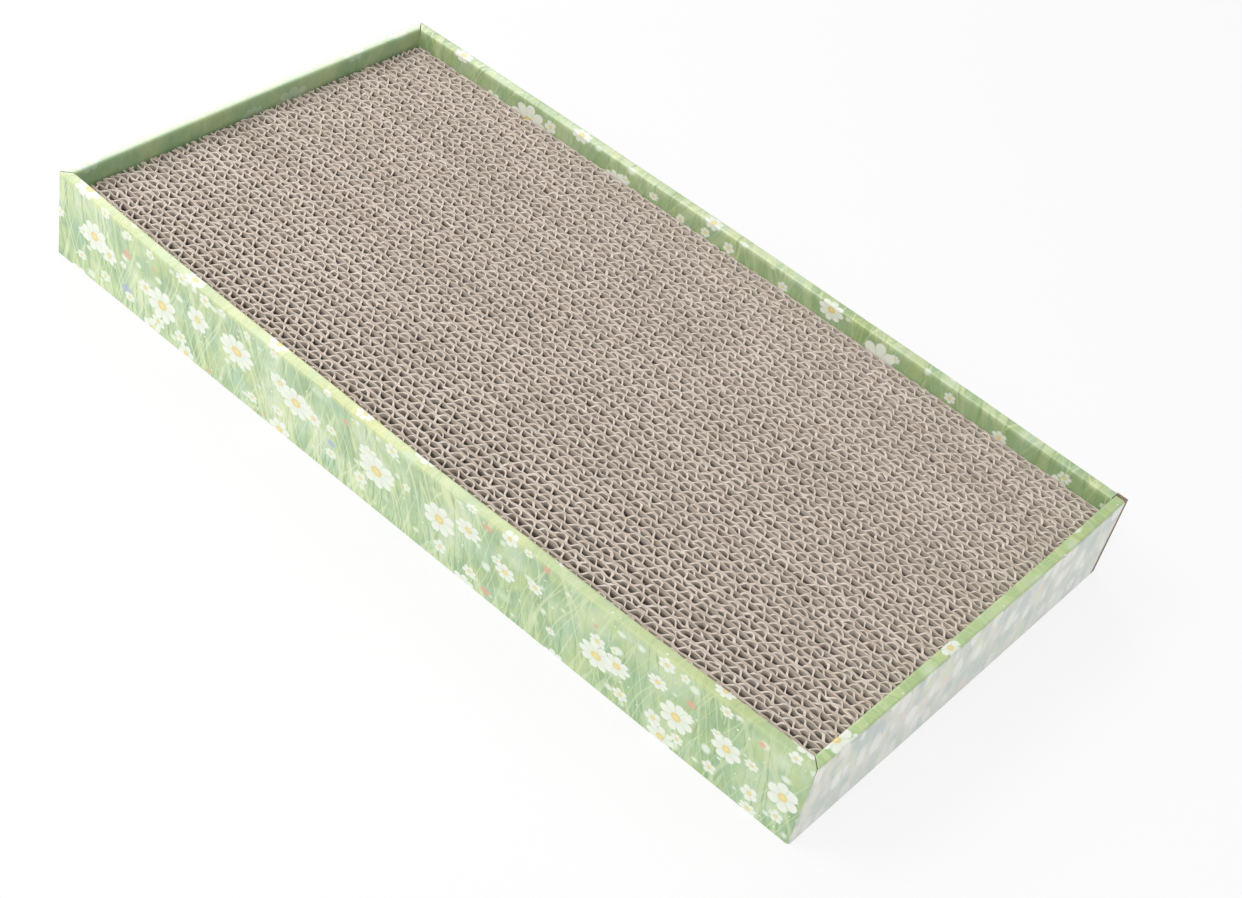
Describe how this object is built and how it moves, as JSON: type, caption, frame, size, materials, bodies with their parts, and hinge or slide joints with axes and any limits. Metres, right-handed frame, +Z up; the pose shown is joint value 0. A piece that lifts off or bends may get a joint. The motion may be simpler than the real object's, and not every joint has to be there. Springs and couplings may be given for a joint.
{
  "type": "cardboard cat scratcher",
  "caption": "Low rectangular folded cardboard tray holding a lift-out scratching pad of corrugated boards on edge.",
  "frame": {"origin": "middle of the footprint, on the surface that the tray stands on", "axes": "+X along the length, -Y towards the long wall nearest the viewer in the picture, +Z up"},
  "size_m": [0.48, 0.25, 0.05],
  "materials": {
    "printed_card": "printed paper liner, satin",
    "kraft_card": "raw kraft, matt",
    "pad_paper": "raw cut edges, matt"
  },
  "bodies": {
    "tray": {"base_panel": "kraft_card", "front_wall": "printed_card", "back_wall": "printed_card", "left_wall": "printed_card", "right_wall": "printed_card"},
    "pad": {"pad_board_01": "pad_paper", "pad_board_02": "pad_paper", "pad_board_03": "pad_paper", "pad_board_04": "pad_paper", "pad_board_05": "pad_paper", "pad_board_06": "pad_paper", "pad_board_07": "pad_paper", "pad_board_08": "pad_paper", "pad_board_09": "pad_paper", "pad_board_10": "pad_paper", "pad_board_11": "pad_paper", "pad_board_12": "pad_paper", "pad_board_13": "pad_paper", "pad_board_14": "pad_paper", "pad_board_15": "pad_paper", "pad_board_16": "pad_paper", "pad_board_17": "pad_paper", "pad_board_18": "pad_paper", "pad_board_19": "pad_paper", "pad_board_20": "pad_paper", "pad_board_21": "pad_paper", "pad_board_22": "pad_paper", "pad_board_23": "pad_paper", "pad_board_24": "pad_paper", "pad_board_25": "pad_paper", "pad_board_26": "pad_paper", "pad_board_27": "pad_paper", "pad_board_28": "pad_paper", "pad_board_29": "pad_paper"}
  },
  "joints": [
    {"name": "pad_lift", "type": "slide", "parent": "tray", "child": "pad", "axis": [0, 0, 1], "range_m": [0, 0.06]}
  ]
}
